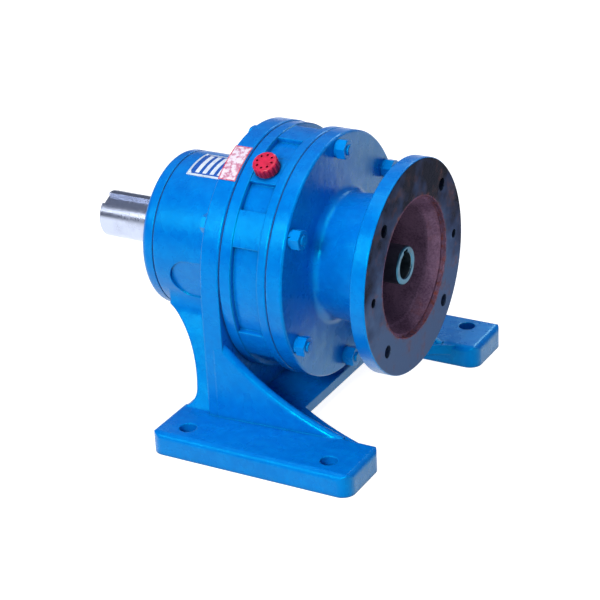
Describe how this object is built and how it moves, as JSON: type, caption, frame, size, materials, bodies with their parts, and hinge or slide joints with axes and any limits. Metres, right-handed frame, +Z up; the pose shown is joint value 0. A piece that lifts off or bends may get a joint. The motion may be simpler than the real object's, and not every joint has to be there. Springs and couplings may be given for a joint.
{
  "type": "foot-mounted cycloidal gear reducer",
  "caption": "Foot-mounted inline cycloidal gear reducer with a bell-shaped motor flange, a hollow keyed input shaft and a solid output shaft.",
  "frame": {"origin": "middle of the four foot holes, on the underside of the feet", "axes": "+X along the shafts from the output end to the motor face, +Y across the feet, +Z up; the shaft axis is at y = 0, z = 150 mm"},
  "size_m": [0.3415, 0.33, 0.2655],
  "materials": {
    "blue_paint": "gloss",
    "cover_casting": "gloss paint outside, bare machined face",
    "painted_fastener": "gloss paint over steel",
    "gasket_paper": "matte",
    "black_steel": "oiled",
    "red_plastic": "satin",
    "copper": "satin",
    "plate_aluminium": "satin",
    "seal_rubber": "satin",
    "bearing_steel": "ground",
    "ground_steel": "ground",
    "dark_steel": "turned, oiled",
    "disc_steel": "ground",
    "cage_brass": "satin"
  },
  "bodies": {
    "housing": {"base_housing": "blue_paint", "pin_ring_housing": "blue_paint", "input_cover": "cover_casting", "output_end_cap": "blue_paint", "gaskets": "gasket_paper", "tie_bolts": "painted_fastener", "spring_washers": "painted_fastener", "tie_nuts": "painted_fastener", "end_cap_screws": "black_steel", "breather_cap": "red_plastic", "breather_washer": "gasket_paper", "drain_plug": "black_steel", "drain_washer": "copper", "nameplate": "plate_aluminium", "nameplate_rivets": "plate_aluminium", "output_oil_seal": "seal_rubber", "input_oil_seal": "seal_rubber", "output_bearing_outer_rings": "bearing_steel", "input_bearing_outer_ring": "bearing_steel", "ring_pins": "bearing_steel", "ring_pin_sleeves": "bearing_steel"},
    "output": {"output_shaft": "ground_steel", "output_bearing_inner_rings": "bearing_steel", "output_bearing_balls": "bearing_steel", "output_bearing_spacer": "ground_steel", "output_snap_ring": "black_steel", "output_pins": "bearing_steel", "output_pin_rollers": "bearing_steel", "pilot_bearing_outer_ring": "bearing_steel"},
    "input": {"input_shaft": "dark_steel", "input_bearing_inner_ring": "bearing_steel", "input_bearing_balls": "bearing_steel", "pilot_bearing_inner_ring": "bearing_steel", "pilot_bearing_balls": "bearing_steel", "disc_spacer": "ground_steel", "eccentric_sleeve": "bearing_steel", "eccentric_rollers": "bearing_steel", "roller_cages": "cage_brass", "eccentric_key": "black_steel", "input_snap_rings": "black_steel"},
    "disc_a": {"cycloid_disc_a": "disc_steel"},
    "disc_b": {"cycloid_disc_b": "disc_steel"}
  },
  "joints": [
    {"name": "output_turn", "type": "hinge", "parent": "housing", "child": "output", "pos_m": [-0.1, 0, 0.15], "axis": [1, 0, 0], "continuous": true},
    {"name": "input_turn", "type": "hinge", "parent": "housing", "child": "input", "pos_m": [0, 0, 0.15], "axis": [1, 0, 0], "continuous": true},
    {"name": "disc_a_turn", "type": "hinge", "parent": "input", "child": "disc_a", "pos_m": [-0.0335, 0, 0.153], "axis": [1, 0, 0], "continuous": true},
    {"name": "disc_b_turn", "type": "hinge", "parent": "input", "child": "disc_b", "pos_m": [-0.0165, 0, 0.147], "axis": [1, 0, 0], "continuous": true}
  ],
  "couplings": [
    {"joint": "input_turn", "follows": "output_turn", "ratio": -17},
    {"joint": "disc_a_turn", "follows": "output_turn", "ratio": 18},
    {"joint": "disc_b_turn", "follows": "output_turn", "ratio": 18}
  ]
}
